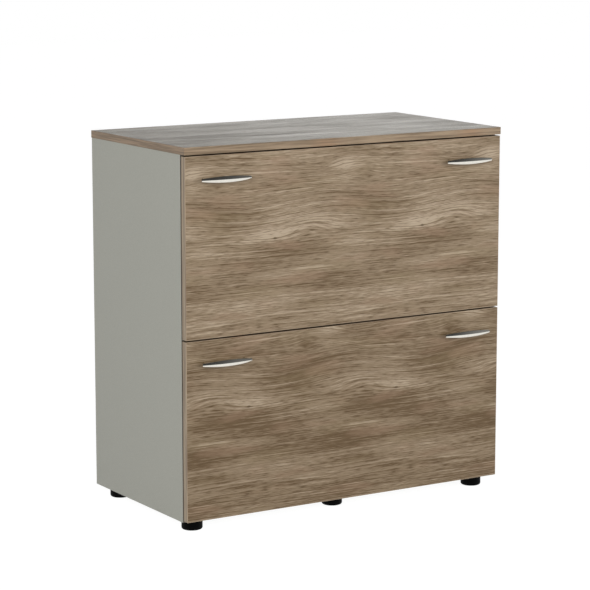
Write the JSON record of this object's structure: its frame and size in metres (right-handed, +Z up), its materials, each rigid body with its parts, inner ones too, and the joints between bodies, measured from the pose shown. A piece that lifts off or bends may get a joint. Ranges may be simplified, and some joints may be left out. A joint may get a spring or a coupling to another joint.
{
  "type": "lateral filing cabinet",
  "caption": "Free-standing lateral filing cabinet with wide drawers for hanging folders, overlay fronts with bow handles and round levelling feet.",
  "frame": {"origin": "on the floor under the centre of the bounding box, handles included, drawers closed", "axes": "+X to the right seen from the front, +Y from the drawer fronts to the rear, +Z up"},
  "size_m": [0.8, 0.4345, 0.814],
  "materials": {
    "wood_decor": "grey-brown wood decor laminate, matte",
    "wood_decor_edge": "edge band in the same decor",
    "grey_panel": "light grey melamine, fine pearl texture",
    "zinc_fittings": "zinc plated",
    "beech": "fluted beech",
    "black_plastic": "moulded, satin",
    "satin_metal": "satin chrome plated",
    "zinc_runner": "bright zinc plated, rolled",
    "frame_steel": "powder coated light grey",
    "cage_plastic": "moulded",
    "clear_buffer": "clear soft plastic"
  },
  "bodies": {
    "carcass": {"top_panel": "wood_decor", "top_edge_band": "wood_decor_edge", "left_side_panel": "grey_panel", "right_side_panel": "grey_panel", "bottom_panel": "grey_panel", "back_panel": "grey_panel", "cam_housings": "zinc_fittings", "cam_bolts": "zinc_fittings", "wooden_dowels": "beech", "foot_inserts": "zinc_fittings", "cabinet_member_screws": "zinc_fittings", "upper_left_cabinet_member": "zinc_runner", "upper_right_cabinet_member": "zinc_runner", "lower_left_cabinet_member": "zinc_runner", "lower_right_cabinet_member": "zinc_runner"},
    "upper_drawer": {"upper_front": "wood_decor", "upper_front_edge_band": "wood_decor_edge", "upper_left_handle": "satin_metal", "upper_right_handle": "satin_metal", "upper_handle_screws": "zinc_fittings", "upper_left_side_rail": "frame_steel", "upper_right_side_rail": "frame_steel", "upper_front_bar": "frame_steel", "upper_rear_bar": "frame_steel", "upper_centre_rail": "frame_steel", "upper_front_brackets": "frame_steel", "upper_frame_screws": "zinc_fittings", "upper_left_drawer_member": "zinc_runner", "upper_right_drawer_member": "zinc_runner", "upper_member_screws": "zinc_fittings", "upper_buffers": "clear_buffer"},
    "upper_left_middle_member": {"upper_left_middle_member": "zinc_runner"},
    "upper_right_middle_member": {"upper_right_middle_member": "zinc_runner"},
    "upper_outer_ball_cages": {"upper_outer_ball_cages": "cage_plastic"},
    "upper_inner_ball_cages": {"upper_inner_ball_cages": "cage_plastic"},
    "lower_drawer": {"lower_front": "wood_decor", "lower_front_edge_band": "wood_decor_edge", "lower_left_handle": "satin_metal", "lower_right_handle": "satin_metal", "lower_handle_screws": "zinc_fittings", "lower_left_side_rail": "frame_steel", "lower_right_side_rail": "frame_steel", "lower_front_bar": "frame_steel", "lower_rear_bar": "frame_steel", "lower_centre_rail": "frame_steel", "lower_front_brackets": "frame_steel", "lower_frame_screws": "zinc_fittings", "lower_left_drawer_member": "zinc_runner", "lower_right_drawer_member": "zinc_runner", "lower_member_screws": "zinc_fittings", "lower_buffers": "clear_buffer"},
    "lower_left_middle_member": {"lower_left_middle_member": "zinc_runner"},
    "lower_right_middle_member": {"lower_right_middle_member": "zinc_runner"},
    "lower_outer_ball_cages": {"lower_outer_ball_cages": "cage_plastic"},
    "lower_inner_ball_cages": {"lower_inner_ball_cages": "cage_plastic"},
    "front_left_foot": {"front_left_foot": "black_plastic"},
    "front_right_foot": {"front_right_foot": "black_plastic"},
    "front_middle_foot": {"front_middle_foot": "black_plastic"},
    "rear_left_foot": {"rear_left_foot": "black_plastic"},
    "rear_right_foot": {"rear_right_foot": "black_plastic"}
  },
  "joints": [
    {"name": "upper_drawer_slide", "type": "slide", "parent": "carcass", "child": "upper_drawer", "axis": [0, -1, 0], "range_m": [0, 0.34]},
    {"name": "upper_left_middle_member_slide", "type": "slide", "parent": "carcass", "child": "upper_left_middle_member", "axis": [0, -1, 0], "range_m": [0, 0.17]},
    {"name": "upper_right_middle_member_slide", "type": "slide", "parent": "carcass", "child": "upper_right_middle_member", "axis": [0, -1, 0], "range_m": [0, 0.17]},
    {"name": "upper_outer_ball_cages_slide", "type": "slide", "parent": "carcass", "child": "upper_outer_ball_cages", "axis": [0, -1, 0], "range_m": [0, 0.085]},
    {"name": "upper_inner_ball_cages_slide", "type": "slide", "parent": "carcass", "child": "upper_inner_ball_cages", "axis": [0, -1, 0], "range_m": [0, 0.255]},
    {"name": "lower_drawer_slide", "type": "slide", "parent": "carcass", "child": "lower_drawer", "axis": [0, -1, 0], "range_m": [0, 0.34]},
    {"name": "lower_left_middle_member_slide", "type": "slide", "parent": "carcass", "child": "lower_left_middle_member", "axis": [0, -1, 0], "range_m": [0, 0.17]},
    {"name": "lower_right_middle_member_slide", "type": "slide", "parent": "carcass", "child": "lower_right_middle_member", "axis": [0, -1, 0], "range_m": [0, 0.17]},
    {"name": "lower_outer_ball_cages_slide", "type": "slide", "parent": "carcass", "child": "lower_outer_ball_cages", "axis": [0, -1, 0], "range_m": [0, 0.085]},
    {"name": "lower_inner_ball_cages_slide", "type": "slide", "parent": "carcass", "child": "lower_inner_ball_cages", "axis": [0, -1, 0], "range_m": [0, 0.255]},
    {"name": "front_left_foot_adjuster", "type": "slide", "parent": "carcass", "child": "front_left_foot", "axis": [0, 0, -1], "range_m": [0, 0.008]},
    {"name": "front_right_foot_adjuster", "type": "slide", "parent": "carcass", "child": "front_right_foot", "axis": [0, 0, -1], "range_m": [0, 0.008]},
    {"name": "front_middle_foot_adjuster", "type": "slide", "parent": "carcass", "child": "front_middle_foot", "axis": [0, 0, -1], "range_m": [0, 0.008]},
    {"name": "rear_left_foot_adjuster", "type": "slide", "parent": "carcass", "child": "rear_left_foot", "axis": [0, 0, -1], "range_m": [0, 0.008]},
    {"name": "rear_right_foot_adjuster", "type": "slide", "parent": "carcass", "child": "rear_right_foot", "axis": [0, 0, -1], "range_m": [0, 0.008]}
  ],
  "couplings": [
    {"joint": "upper_left_middle_member_slide", "follows": "upper_drawer_slide", "ratio": 0.5},
    {"joint": "upper_right_middle_member_slide", "follows": "upper_drawer_slide", "ratio": 0.5},
    {"joint": "upper_outer_ball_cages_slide", "follows": "upper_drawer_slide", "ratio": 0.25},
    {"joint": "upper_inner_ball_cages_slide", "follows": "upper_drawer_slide", "ratio": 0.75},
    {"joint": "lower_left_middle_member_slide", "follows": "lower_drawer_slide", "ratio": 0.5},
    {"joint": "lower_right_middle_member_slide", "follows": "lower_drawer_slide", "ratio": 0.5},
    {"joint": "lower_outer_ball_cages_slide", "follows": "lower_drawer_slide", "ratio": 0.25},
    {"joint": "lower_inner_ball_cages_slide", "follows": "lower_drawer_slide", "ratio": 0.75}
  ]
}
